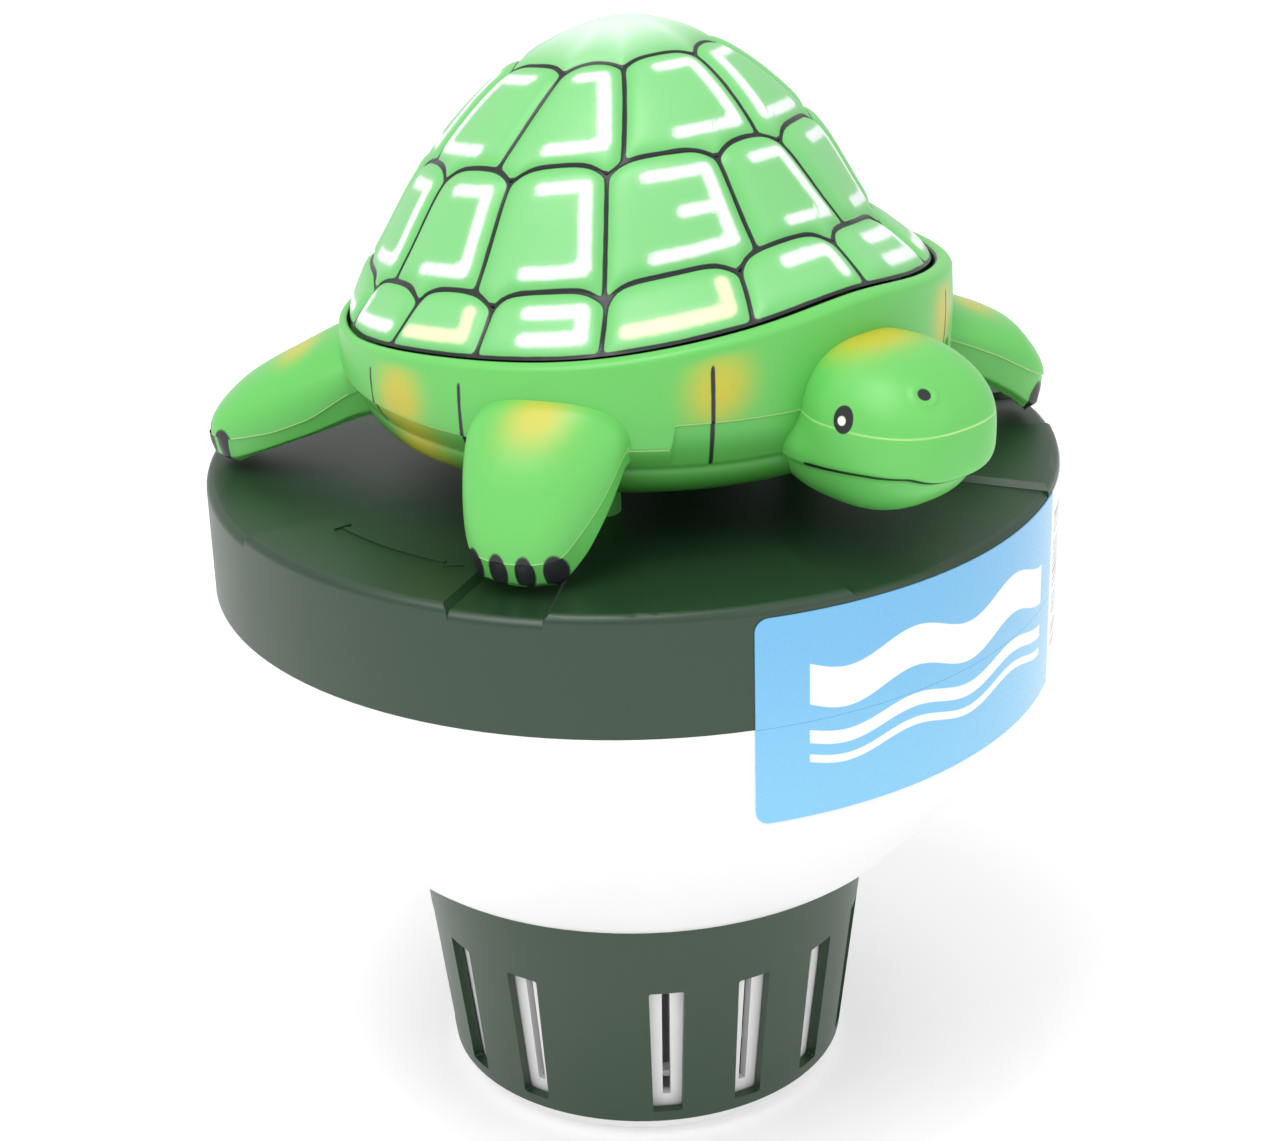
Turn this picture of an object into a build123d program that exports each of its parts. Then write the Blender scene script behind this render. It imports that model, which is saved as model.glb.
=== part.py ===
"""Floating chlorine dispenser: a turtle on a twist-off lid, a hollow float, a slotted canister.

Millimetres, +Z up. The origin is the centre of the bottom face of the base cap.
The turtle looks along -Y.
"""

import os
from math import cos, hypot, radians, sin

from build123d import *

os.makedirs("parts", exist_ok=True)

# ---------------------------------------------------------------- driving sizes
TABLET_RADIUS = 38.1  # a three-inch chlorine tablet has to drop through
BODY_RADIUS = 98.0  # lid skirt and widest part of the bowl
JOINT_Z = 132.5  # lid skirt meets the bowl
LID_TOP_Z = 160.0
WALL = 2.5  # bowl, tube, canister and flow ring
LID_WALL = 2.8
BASE_Z = 4.8  # top of the base cap's flange
CAP_RADIUS = 47.2
BOWL_BOTTOM_Z = 65.0  # flat underside of the bowl
RUNNING_GAP = 0.4  # flow ring around the canister

# Bowl
BOWL_CORNER_Z = 104.8  # where the upright wall would meet the cone
BOWL_FOOT_RADIUS = 64.3  # where the cone would meet the flat underside
RIM_RADIUS = 91.5  # upright rim that the lid slips over
RIM_THICKNESS = 3.5
RIM_TOP_Z = 152.4

# Canister, a cone that widens upwards
CANISTER_FOOT_RADIUS = 45.7
CANISTER_SLOPE = 0.115  # growth of the radius per millimetre of height
TUBE_START_Z = 64.6
CANISTER_TOP_RADIUS = CANISTER_FOOT_RADIUS + CANISTER_SLOPE * (TUBE_START_Z - BASE_Z)
DECK_Z = 146.0
DECK_THICKNESS = 2.5

# Windows in the flow ring and slots in the canister: two groups of seven
WINDOWS_PER_GROUP = 7
GROUP_GAP_ANGLE = 38.7  # between the last window of one group and the first of the next
GROUP_GAP_CENTRE = -145.35  # direction of the middle of one wide gap
WINDOW_PITCH = (180 - GROUP_GAP_ANGLE) / (WINDOWS_PER_GROUP - 1)
WINDOW_ANGLES = [
    GROUP_GAP_CENTRE + half_turn + GROUP_GAP_ANGLE / 2 + index * WINDOW_PITCH
    for half_turn in (0, 180)
    for index in range(WINDOWS_PER_GROUP)
]
WINDOW_FOOT_Z = 7.6
WINDOW_TOP_Z = 43.0
WINDOW_FOOT_WIDTH = 7.0
WINDOW_TOP_WIDTH = 8.4
SLOT_WIDTH = 1.9
SLOT_FOOT_Z = 11.0
SLOT_TOP_Z = 42.5

# Bayonet between lid and rim
LUG_COUNT = 4
RIM_LUG_ANGLE = 30.0
LID_LUG_ANGLE = 26.0
LID_LUG_CENTRE = 32.0  # unlocked; the lid turns back 30 degrees to lock
LUG_CLEARANCE = 0.6
RIM_LUG_Z = 144.0
RIM_LUG_HEIGHT = 3.0
LID_LUG_Z = 140.2
LID_LUG_HEIGHT = 3.4

# Lid
LID_UNDERSIDE_Z = 156.4
CHANNEL_DEPTH = 1.4
CHANNEL_FLOOR_Z = LID_TOP_Z - CHANNEL_DEPTH

# Lid details
LID_EDGE_RADIUS = 2.0
ISLAND_ANGLES = ((-190, -154), (-142, -104), (-62, -38), (-26, 10), (75, 105))
ISLAND_INNER_RADIUS = 56.0
ISLAND_CORNER = 8.0
ARROW_RADIUS = 79.0
ARROW_MIDDLE = -172.0
ARROW_SWEEP = 22.0
ARROW_HEIGHT = 0.4
SPOKE_START_ANGLE = 22.5
SEAL_RADII = (87.6, 92.0)
SEAL_RIBS = ((85.4, 87.2), (92.4, 93.6))

# Turtle
SHELL_CENTRE_Y = -5.7
SEAM_Z = 190.5  # upper and lower shells are glued together here at the front
SIDE_SEAM_Z = 186.0  # round the sides and back the upper shell laps over the lower one
FRONT_SEAM_ANGLE = 37.0  # the seam steps down this far to either side of the head
LAP_RADIUS = 67.3  # outside of the lower shell behind the lap
SHELL_TILT = 5.0  # the front edge of the carapace is lifted over the head
SHELL_RADIUS = 70.4
SHELL_SKIRT_Z = 175.0
SHELL_SHOULDER_Z = 197.0
SHELL_TOP_Z = 259.0
# Radius and height of the grooves that ring the carapace, from the rim up
GROOVE_RINGS = ((67.0, 202.4), (58.9, 213.0), (42.9, 234.0), (23.4, 252.5))
SHELL_RIM_RADIUS, SHELL_RIM_Z = GROOVE_RINGS[0]
# Directions of the upright grooves between one ring and the next, from the head
GROOVE_ANGLES = (
    (-113, -91, -71, -48, -20, 7, 32, 59, 86, 113, 140, 167, 194, 221),
    (-101, -75, -47, -15, 11, 38, 66, 94, 122, 150, 178, 206, 233),
    (-77, -42, 2, 45, 85, 125, 165, 205, 244),
)
GROOVE_WIDTH = 1.2
GROOVE_DEPTH = 0.6
SHELL_WALL = 2.4
BELLY_Z = 168.5
HEAD_CENTRE = (0.0, SHELL_CENTRE_Y - 73.0, 186.3)
HEAD_HALF_SIZES = (19.0, 25.0, 20.3)
FRONT_LEG_ANGLES = (-148.5, -31.5)
REAR_LEG_ANGLES = (137.0, 43.0)
SCREW_REACH = 36.0  # four screws under the belly, in line with the legs
LEG_ROOT = 56.0  # distance from the middle of the shell where the legs start
LEG_FOOT_Z = 160.05
# Sections each leg is lofted through: reach, width, underside, top and corner radius
FRONT_LEG = (
    (LEG_ROOT, 33.0, 181.0, 199.0, 12.0),
    (70.0, 34.0, 177.0, 195.5, 12.0),
    (79.0, 33.0, 164.0, 187.5, 11.0),
    (83.0, 31.0, LEG_FOOT_Z, 181.0, 9.0),
    (86.5, 25.0, LEG_FOOT_Z, 172.5, 6.0),
)
REAR_LEG = (
    (LEG_ROOT, 32.0, 176.0, 198.0, 12.0),
    (69.0, 34.0, 171.0, 191.0, 12.0),
    (82.0, 34.0, 165.5, 184.0, 9.0),
    (94.0, 30.0, LEG_FOOT_Z, 178.5, 7.0),
    (100.0, 20.0, LEG_FOOT_Z, 172.0, 5.0),
)
LEG_SEAM_BEND = 68.0  # reach from which a leg's seam slopes down to its toes
# Height of the seam at the body and its drop per millimetre of reach
FRONT_LEG_SEAM = (SIDE_SEAM_Z - 0.5, 1.3)
REAR_LEG_SEAM = (180.5, 0.46)
BELLY_PROFILE = (
    (0, 168.5),
    (52.0, 168.9),
    (60.0, 172.8),
    (62.5, 177.0),
    (66.5, 179.5),
    (69.4, 190.5),
    (0, 190.5),
)
BOSS_RADIUS = 4.5
BOSS_TOP_Z = 175.0
SPOT_GAP = 0.02  # hair's breadth between parts clamped together
SCREW_RADIUS = 1.75
SCREW_LENGTH = 13.0
SCREW_HEAD_RADIUS = 3.5
SCREW_HEAD_HEIGHT = 2.2
WASHER_RADIUS = 4.2
WASHER_THICKNESS = 0.8

# Label
LABEL_THICKNESS = 0.3
LABEL_GAP = 0.01
LABEL_START_ANGLE = -117.0
LABEL_SWEEP = 89.0
LABEL_FOOT_Z = 110.5
LABEL_TOP_Z = 157.3
LABEL_SPLIT = 0.03  # each part stops this far from the joint
LABEL_CORNER = 3.0


# ---------------------------------------------------------------- helpers
def canister_radius(height):
    """Outside radius of the tapered canister at a height."""
    return CANISTER_FOOT_RADIUS + CANISTER_SLOPE * (height - BASE_Z)


def ring_radius(height):
    """Outside radius of the flow ring at a height."""
    return canister_radius(height) + RUNNING_GAP + WALL


def revolved(*points):
    """Solid of revolution about Z from the (radius, height) corners of its section."""
    with BuildPart(mode=Mode.PRIVATE) as turned:
        with BuildSketch(Plane.XZ):
            with BuildLine():
                Polyline(*points, close=True)
            make_face()
        revolve(axis=Axis.Z)
    return turned.part


def annulus(inner, outer, foot, top):
    """Plain ring between two radii and two heights."""
    return revolved((inner, foot), (outer, foot), (outer, top), (inner, top))


def ring_sector(inner, outer, foot, top, start, sweep):
    """Part of a ring, from one direction through an angle."""
    with BuildPart(mode=Mode.PRIVATE) as sector:
        with BuildSketch(Plane.XZ):
            with Locations(((inner + outer) / 2, (foot + top) / 2)):
                Rectangle(outer - inner, top - foot)
        revolve(axis=Axis.Z, revolution_arc=sweep)
    return sector.part.moved(Location((0, 0, 0), (0, 0, start)))


def turned(angles):
    """Places at the origin turned about the upright axis."""
    return [Location((0, 0, 0), (0, 0, angle)) for angle in angles]


def leg_frame(angle):
    """Upright frame at the middle of the shell whose X runs out along a leg."""
    return Location((0, SHELL_CENTRE_Y, 0), (0, 0, angle))


def foot_point(angle, reach):
    """Point on the ground plan at a distance out along a leg."""
    return (
        reach * cos(radians(angle)),
        SHELL_CENTRE_Y + reach * sin(radians(angle)),
    )


SCREW_POINTS = [foot_point(angle, SCREW_REACH) for angle in FRONT_LEG_ANGLES + REAR_LEG_ANGLES]
UPRIGHT = (Align.CENTER, Align.CENTER, Align.MIN)  # stands on the height it is placed at


# ---------------------------------------------------------------- float bowl
with BuildPart() as float_bowl:
    with BuildSketch(Plane.XZ):
        with BuildLine():
            Polyline(
                (0, JOINT_Z),
                (BODY_RADIUS, JOINT_Z),
                (BODY_RADIUS, BOWL_CORNER_Z),
                (BOWL_FOOT_RADIUS, BOWL_BOTTOM_Z),
                (0, BOWL_BOTTOM_Z),
                close=True,
            )
        make_face()
    revolve(axis=Axis.Z)
    corner_edges = float_bowl.edges().filter_by(GeomType.CIRCLE).group_by(Axis.Z)
    fillet(corner_edges[1], radius=15)
    foot_edge = float_bowl.edges().filter_by(GeomType.CIRCLE).group_by(Axis.Z)[0]
    fillet(foot_edge, radius=12)
    offset(amount=-WALL, openings=float_bowl.faces().sort_by(Axis.Z)[-1])
    # Ledge and upright rim for the lid, with a step inside that carries the deck
    add(annulus(RIM_RADIUS - RIM_THICKNESS, BODY_RADIUS - 1, JOINT_Z - WALL, JOINT_Z))
    add(annulus(RIM_RADIUS - RIM_THICKNESS, RIM_RADIUS, JOINT_Z - WALL, RIM_TOP_Z))
    add(annulus(RIM_RADIUS - RIM_THICKNESS - 2, RIM_RADIUS - 1, DECK_Z - 4, DECK_Z))
    # Neck around the foot of the tube
    add(annulus(TABLET_RADIUS, CANISTER_TOP_RADIUS + WALL, BOWL_BOTTOM_Z, BOWL_BOTTOM_Z + 9))
    add(annulus(0, CANISTER_TOP_RADIUS + 0.05, 0, RIM_TOP_Z), mode=Mode.SUBTRACT)
    for index in range(LUG_COUNT):
        middle = index * 360 / LUG_COUNT
        first = middle - RIM_LUG_ANGLE / 2
        lug_outer = BODY_RADIUS - LID_WALL - LUG_CLEARANCE
        lug_top = RIM_LUG_Z + RIM_LUG_HEIGHT
        add(ring_sector(RIM_RADIUS - 1, lug_outer, RIM_LUG_Z, lug_top, first, RIM_LUG_ANGLE))
        # Stop at the end of the lug
        add(ring_sector(RIM_RADIUS - 1, lug_outer, LID_LUG_Z - 1, lug_top, first - 1, 3))
float_bowl.part.label = "float_bowl"


# ---------------------------------------------------------------- tablet tube
with BuildPart() as tablet_tube:
    add(
        revolved(
            (CANISTER_FOOT_RADIUS - WALL, BASE_Z),
            (CANISTER_FOOT_RADIUS, BASE_Z),
            (CANISTER_TOP_RADIUS, TUBE_START_Z),
            (CANISTER_TOP_RADIUS, DECK_Z),
            (RIM_RADIUS - RIM_THICKNESS - 0.1, DECK_Z),
            (RIM_RADIUS - RIM_THICKNESS - 0.1, DECK_Z + DECK_THICKNESS),
            (CANISTER_TOP_RADIUS - WALL, DECK_Z + DECK_THICKNESS),
            (CANISTER_TOP_RADIUS - WALL, TUBE_START_Z),
        )
    )
    mouth = tablet_tube.edges().filter_by(GeomType.CIRCLE).group_by(Axis.Z)[-1]
    fillet(mouth.sort_by(SortBy.RADIUS)[0], radius=1.5)
    # Slots, each with a pointed top
    with BuildPart(mode=Mode.PRIVATE) as slot_cutter:
        with BuildSketch(Plane.YZ):
            with BuildLine():
                Polyline(
                    (-SLOT_WIDTH / 2, SLOT_FOOT_Z),
                    (SLOT_WIDTH / 2, SLOT_FOOT_Z),
                    (SLOT_WIDTH / 2, SLOT_TOP_Z - SLOT_WIDTH),
                    (0, SLOT_TOP_Z),
                    (-SLOT_WIDTH / 2, SLOT_TOP_Z - SLOT_WIDTH),
                    close=True,
                )
            make_face()
        extrude(amount=BODY_RADIUS)
    with Locations(*turned(WINDOW_ANGLES)):
        add(slot_cutter.part, mode=Mode.SUBTRACT)
    # Tab that limits how far the flow ring turns
    add(
        ring_sector(
            CANISTER_TOP_RADIUS - 1,
            ring_radius(TUBE_START_Z) - 0.6,
            TUBE_START_Z - 3.6,
            TUBE_START_Z - 0.2,
            GROUP_GAP_CENTRE + 180 - 2,
            4,
        )
    )
tablet_tube.part.label = "tablet_tube"


# ---------------------------------------------------------------- flow ring
with BuildPart() as flow_ring:
    ring_top = TUBE_START_Z - 0.1
    add(
        revolved(
            (ring_radius(BASE_Z) - WALL, BASE_Z),
            (ring_radius(BASE_Z), BASE_Z),
            (ring_radius(ring_top), ring_top),
            (ring_radius(ring_top) - WALL, ring_top),
        )
    )
    with BuildPart(mode=Mode.PRIVATE) as window_cutter:
        with BuildSketch(Plane.YZ) as window:
            with BuildLine():
                Polyline(
                    (-WINDOW_FOOT_WIDTH / 2, WINDOW_FOOT_Z),
                    (WINDOW_FOOT_WIDTH / 2, WINDOW_FOOT_Z),
                    (WINDOW_TOP_WIDTH / 2, WINDOW_TOP_Z),
                    (-WINDOW_TOP_WIDTH / 2, WINDOW_TOP_Z),
                    close=True,
                )
            make_face()
            fillet(window.vertices(), radius=0.6)
        extrude(amount=BODY_RADIUS)
    with Locations(*turned(WINDOW_ANGLES)):
        add(window_cutter.part, mode=Mode.SUBTRACT)
    # Notch in the top edge that the tab on the canister runs in
    add(
        ring_sector(
            canister_radius(BASE_Z),
            BODY_RADIUS,
            TUBE_START_Z - 4.2,
            TUBE_START_Z + 1,
            GROUP_GAP_CENTRE + 180 - 2 - WINDOW_PITCH / 2 - 0.5,
            WINDOW_PITCH / 2 + 5,
        ),
        mode=Mode.SUBTRACT,
    )
flow_ring.part.label = "flow_ring"


# ---------------------------------------------------------------- base cap
with BuildPart() as base_cap:
    spigot_radius = CANISTER_FOOT_RADIUS - WALL - 0.2
    add(
        revolved(
            (0, 0),
            (CAP_RADIUS - 4, 0),
            (CAP_RADIUS - 1.4, 1.2),
            (CAP_RADIUS, BASE_Z - 0.2),
            (CAP_RADIUS, BASE_Z - 0.1),
            (CANISTER_FOOT_RADIUS, BASE_Z - 0.1),
            (CANISTER_FOOT_RADIUS, BASE_Z),
            (spigot_radius, BASE_Z),
            (spigot_radius, BASE_Z + 5),
            (spigot_radius - WALL, BASE_Z + 5),
            (spigot_radius - WALL, WALL),
            (0, WALL),
        )
    )
    # Drain holes
    with PolarLocations(24, 6):
        Hole(radius=3)
    Hole(radius=3)
base_cap.part.label = "base_cap"


# ---------------------------------------------------------------- lid
def lid_blank(top):
    """Plain lid with a rounded top edge."""
    with BuildPart(mode=Mode.PRIVATE) as blank:
        add(
            revolved(
                (BODY_RADIUS - LID_WALL, JOINT_Z),
                (BODY_RADIUS, JOINT_Z),
                (BODY_RADIUS, top),
                (0, top),
                (0, LID_UNDERSIDE_Z),
                (BODY_RADIUS - LID_WALL, LID_UNDERSIDE_Z),
            )
        )
        fillet(blank.edges().group_by(Axis.Z)[-1], radius=LID_EDGE_RADIUS)
    return blank.part


with BuildPart(mode=Mode.PRIVATE) as islands:
    with BuildSketch(Plane.XY.offset(LID_UNDERSIDE_Z)) as island_outline:
        for first, last in ISLAND_ANGLES:
            with BuildLine():
                inner_arc = CenterArc((0, 0), ISLAND_INNER_RADIUS, first, last - first)
                outer_arc = CenterArc((0, 0), BODY_RADIUS + 10, first, last - first)
                Line(inner_arc @ 0, outer_arc @ 0)
                Line(inner_arc @ 1, outer_arc @ 1)
            make_face()
        inner_corners = island_outline.vertices().filter_by(
            lambda corner: hypot(corner.X, corner.Y) < BODY_RADIUS
        )
        fillet(inner_corners, radius=ISLAND_CORNER)
    extrude(amount=LID_TOP_Z - LID_UNDERSIDE_Z)
    chamfer(islands.edges().group_by(Axis.Z)[-1], length=CHANNEL_DEPTH - 0.1)

with BuildPart() as lid:
    add(lid_blank(LID_TOP_Z))
    add(islands.part, mode=Mode.INTERSECT)
    add(lid_blank(CHANNEL_FLOOR_Z))
    # Curved double arrow that shows which way the lid turns
    arrow_half = ARROW_SWEEP / 2
    add(
        ring_sector(
            ARROW_RADIUS - 0.5,
            ARROW_RADIUS + 0.5,
            LID_TOP_Z - 0.5,
            LID_TOP_Z + ARROW_HEIGHT,
            ARROW_MIDDLE - arrow_half,
            ARROW_SWEEP,
        )
    )
    for side in (-1, 1):
        tip_angle = ARROW_MIDDLE + side * arrow_half
        with BuildSketch(Plane.XY.offset(LID_TOP_Z - 0.5)):
            with Locations(Location((0, 0, 0), (0, 0, tip_angle))):
                with Locations((ARROW_RADIUS, side * 2)):
                    Triangle(a=4.4, b=4.4, c=4.4, rotation=0 if side > 0 else 180)
        extrude(amount=0.5 + ARROW_HEIGHT)
    # Ribs either side of the seal
    for inner, outer in SEAL_RIBS:
        add(annulus(inner, outer, LID_UNDERSIDE_Z - 3, LID_UNDERSIDE_Z + 0.5))
    # Spokes that stiffen the cover
    with BuildSketch(Plane.XY.offset(LID_UNDERSIDE_Z - 2)):
        with PolarLocations(50, 8, start_angle=SPOKE_START_ANGLE):
            Rectangle(66, 1.6)
    extrude(amount=2.5)
    # Bayonet lugs inside the skirt
    for index in range(LUG_COUNT):
        first = index * 360 / LUG_COUNT + LID_LUG_CENTRE - LID_LUG_ANGLE / 2
        add(
            ring_sector(
                RIM_RADIUS + LUG_CLEARANCE,
                BODY_RADIUS - 1,
                LID_LUG_Z,
                LID_LUG_Z + LID_LUG_HEIGHT,
                first,
                LID_LUG_ANGLE,
            )
        )
    # Screw holes
    with Locations(*[(x, y, CHANNEL_FLOOR_Z) for x, y in SCREW_POINTS]):
        Hole(radius=SCREW_RADIUS + 0.25)
lid.part.label = "lid"


# ---------------------------------------------------------------- lid seal
with BuildPart() as lid_seal:
    add(annulus(*SEAL_RADII, RIM_TOP_Z + 0.02, LID_UNDERSIDE_Z - 0.02))
    fillet(lid_seal.edges().filter_by(GeomType.CIRCLE), radius=0.8)
lid_seal.part.label = "lid_seal"


# ---------------------------------------------------------------- turtle
def carapace_profile(inset):
    """Section of the carapace, drawn in from the outside by a wall thickness."""
    with BuildLine(Plane.XZ, mode=Mode.PRIVATE) as outline:
        side = Line((SHELL_RADIUS - inset, SHELL_SKIRT_Z), (SHELL_RADIUS - inset, SHELL_SHOULDER_Z))
        shoulder = Spline(
            side @ 1,
            (SHELL_RIM_RADIUS - inset, SHELL_RIM_Z - 0.4 * inset),
            tangents=((0, 1), (-0.8, 0.6)),
        )
        dome = Spline(
            shoulder @ 1,
            *[(radius - 0.8 * inset, height - 0.6 * inset) for radius, height in GROOVE_RINGS[1:]],
            (0, SHELL_TOP_Z - inset),
            tangents=((-0.6, 0.8), (-1, 0)),
        )
        Polyline(dome @ 1, (0, SHELL_SKIRT_Z), side @ 0)
    return outline.line


def carapace_solid(inset):
    """Filled carapace."""
    with BuildPart(mode=Mode.PRIVATE) as filled:
        with BuildSketch(Plane.XZ):
            with BuildLine():
                add(carapace_profile(inset))
            make_face()
        revolve(axis=Axis.Z)
    return filled.part


def tilted(shape):
    """Moved to the turtle's middle and tipped back, so that its front edge lifts."""
    to_pivot = Location((0, 0, -SEAM_Z))
    tip = Location((0, SHELL_CENTRE_Y, SEAM_Z), (-SHELL_TILT, 0, 0))
    return shape.moved(tip * to_pivot)


def upright_grooves():
    """Cutters for the grooves that run up the carapace between one ring and the next."""
    with BuildPart(mode=Mode.PRIVATE) as cutters:
        for angles, low, high in zip(GROOVE_ANGLES, GROOVE_RINGS, GROOVE_RINGS[1:]):
            inner = high[0] / 2
            for angle in angles:
                turn = Location((0, 0, low[1]), (0, 0, angle - 90))
                with Locations(turn * Location((inner, 0, 0))):
                    Box(
                        SHELL_RADIUS,
                        GROOVE_WIDTH,
                        high[1] - low[1],
                        align=(Align.MIN, Align.CENTER, Align.MIN),
                    )
        add(carapace_solid(GROOVE_DEPTH), mode=Mode.SUBTRACT)
    return cutters.part


def grooved_dome():
    """Hollow carapace with the grooves between its plates."""
    with BuildPart(mode=Mode.PRIVATE) as grooved:
        add(carapace_solid(0))
        with BuildSketch(Plane.XZ):
            with Locations(*GROOVE_RINGS):
                Circle(GROOVE_WIDTH / 2)
        revolve(axis=Axis.Z, mode=Mode.SUBTRACT)
        add(upright_grooves(), mode=Mode.SUBTRACT)
        add(carapace_solid(SHELL_WALL), mode=Mode.SUBTRACT)
    return grooved.part


def leg_solid(angle, stations, inset=0):
    """Leg lofted through its upright sections, or the room inside its wall."""
    with BuildPart(mode=Mode.PRIVATE) as leg:
        for index, (reach, width, foot, top, corner) in enumerate(stations):
            last = index == len(stations) - 1
            with BuildSketch(Plane.YZ.offset(reach - (inset if last else 0))) as section:
                with Locations((0, foot + inset)):
                    Rectangle(
                        width - 2 * inset,
                        top - foot - 2 * inset,
                        align=(Align.CENTER, Align.MIN),
                    )
                fillet(section.vertices().group_by(Axis.Y)[-1], radius=corner - inset)
        loft()
        split(bisect_by=Plane.XY.offset(LEG_FOOT_Z + inset), keep=Keep.TOP)
    return leg.part.moved(leg_frame(angle))


def head_solid(inset):
    """Egg-shaped head."""
    half_sizes = tuple(half - inset for half in HEAD_HALF_SIZES)
    return scale(Sphere(1, mode=Mode.PRIVATE), by=half_sizes, mode=Mode.PRIVATE).moved(
        Location(HEAD_CENTRE)
    )


def above_leg_seam(angle, height, slope):
    """Space above the slanting seam of one leg."""
    with BuildPart(mode=Mode.PRIVATE) as space:
        with BuildSketch(Plane.XZ):
            with BuildLine():
                Polyline(
                    (LEG_ROOT - 10, height),
                    (LEG_SEAM_BEND, height),
                    (LEG_SEAM_BEND + 60, height - 60 * slope),
                    (LEG_SEAM_BEND + 60, SHELL_TOP_Z),
                    (LEG_ROOT - 10, SHELL_TOP_Z),
                    close=True,
                )
            make_face()
        extrude(amount=40, both=True)
    return space.part.moved(leg_frame(angle))


LEGS = [(angle, FRONT_LEG, FRONT_LEG_SEAM) for angle in FRONT_LEG_ANGLES]
LEGS += [(angle, REAR_LEG, REAR_LEG_SEAM) for angle in REAR_LEG_ANGLES]

carapace = tilted(grooved_dome())
dome_room = tilted(carapace_solid(SHELL_WALL))
belly = revolved(*BELLY_PROFILE).moved(Location((0, SHELL_CENTRE_Y, 0)))
belly_room = revolved(
    (0, BELLY_Z + SHELL_WALL),
    (50.0, BELLY_Z + SHELL_WALL + 0.4),
    (58.0, 175.0),
    (63.0, 181.0),
    (65.0, SEAM_Z),
    (0, SEAM_Z),
).moved(Location((0, SHELL_CENTRE_Y, 0)))
# Room for the edge of the upper shell where it laps over the lower one
lap = ring_sector(
    LAP_RADIUS,
    BODY_RADIUS,
    SIDE_SEAM_Z,
    SEAM_Z + 1,
    FRONT_SEAM_ANGLE - 90,
    360 - 2 * FRONT_SEAM_ANGLE,
).moved(Location((0, SHELL_CENTRE_Y, 0)))
with BuildPart(mode=Mode.PRIVATE) as upper_carapace:
    add(carapace)
    split(bisect_by=Plane.XY.offset(SIDE_SEAM_Z), keep=Keep.TOP)
    add(
        ring_sector(
            LAP_RADIUS - 20,
            BODY_RADIUS,
            SIDE_SEAM_Z - 1,
            SEAM_Z,
            -90 - FRONT_SEAM_ANGLE,
            2 * FRONT_SEAM_ANGLE,
        ).moved(Location((0, SHELL_CENTRE_Y, 0))),
        mode=Mode.SUBTRACT,
    )
leg_solids = [leg_solid(angle, stations) for angle, stations, _ in LEGS]
upper_legs = [leg & above_leg_seam(angle, *seam) for leg, (angle, _, seam) in zip(leg_solids, LEGS)]
leg_rooms = [leg_solid(angle, stations, SHELL_WALL) for angle, stations, _ in LEGS]
head_room = head_solid(SHELL_WALL)

with BuildPart() as turtle_upper_shell:
    add(head_solid(0))
    split(bisect_by=Plane.XY.offset(SEAM_Z), keep=Keep.TOP)
    add(upper_legs)
    add(belly_room, mode=Mode.SUBTRACT)
    add(head_room, mode=Mode.SUBTRACT)
    add(leg_rooms, mode=Mode.SUBTRACT)
    add(dome_room, mode=Mode.SUBTRACT)
    add(upper_carapace.part)
turtle_upper_shell.part.label = "turtle_upper_shell"

with BuildPart() as turtle_lower_shell:
    add(head_solid(0))
    split(bisect_by=Plane.XY.offset(SEAM_Z), keep=Keep.BOTTOM)
    add(belly)
    add(leg_solids)
    add(belly_room, mode=Mode.SUBTRACT)
    add(upper_legs, mode=Mode.SUBTRACT)
    add(lap, mode=Mode.SUBTRACT)
    add(head_room, mode=Mode.SUBTRACT)
    add(leg_rooms, mode=Mode.SUBTRACT)
    # Screw bosses that stand on the lid under the belly
    with Locations(*[(x, y, CHANNEL_FLOOR_Z) for x, y in SCREW_POINTS]):
        Cylinder(BOSS_RADIUS, BOSS_TOP_Z - CHANNEL_FLOOR_Z, align=UPRIGHT)
        Cylinder(
            SCREW_RADIUS + 0.05,
            BOSS_TOP_Z - CHANNEL_FLOOR_Z - 1,
            align=UPRIGHT,
            mode=Mode.SUBTRACT,
        )
turtle_lower_shell.part.label = "turtle_lower_shell"


# ---------------------------------------------------------------- screws and washers
SCREW_SEAT_Z = LID_UNDERSIDE_Z - WASHER_THICKNESS - SPOT_GAP

with BuildPart() as turtle_screws:
    with Locations(*[(x, y, SCREW_SEAT_Z - SCREW_HEAD_HEIGHT) for x, y in SCREW_POINTS]):
        Cylinder(SCREW_HEAD_RADIUS, SCREW_HEAD_HEIGHT, align=UPRIGHT)
        Box(4.4, 0.9, 1.0, align=UPRIGHT, mode=Mode.SUBTRACT)
        Box(0.9, 4.4, 1.0, align=UPRIGHT, mode=Mode.SUBTRACT)
    with Locations(*[(x, y, SCREW_SEAT_Z) for x, y in SCREW_POINTS]):
        Cylinder(SCREW_RADIUS, SCREW_LENGTH, align=UPRIGHT)
    fillet(turtle_screws.edges().filter_by(GeomType.CIRCLE).group_by(Axis.Z)[0], radius=0.6)
    chamfer(turtle_screws.edges().filter_by(GeomType.CIRCLE).group_by(Axis.Z)[-1], length=0.9)
turtle_screws.part.label = "turtle_screws"

with BuildPart() as screw_washers:
    with Locations(*[(x, y, SCREW_SEAT_Z) for x, y in SCREW_POINTS]):
        Cylinder(WASHER_RADIUS, WASHER_THICKNESS, align=UPRIGHT)
        Cylinder(SCREW_RADIUS + 0.08, WASHER_THICKNESS, align=UPRIGHT, mode=Mode.SUBTRACT)
screw_washers.part.label = "screw_washers"


# ---------------------------------------------------------------- label
def label_sheet(foot, top):
    """Curved sheet between two heights, with rounded corners."""
    inner = BODY_RADIUS + LABEL_GAP
    return ring_sector(inner, inner + LABEL_THICKNESS, foot, top, LABEL_START_ANGLE, LABEL_SWEEP)


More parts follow.
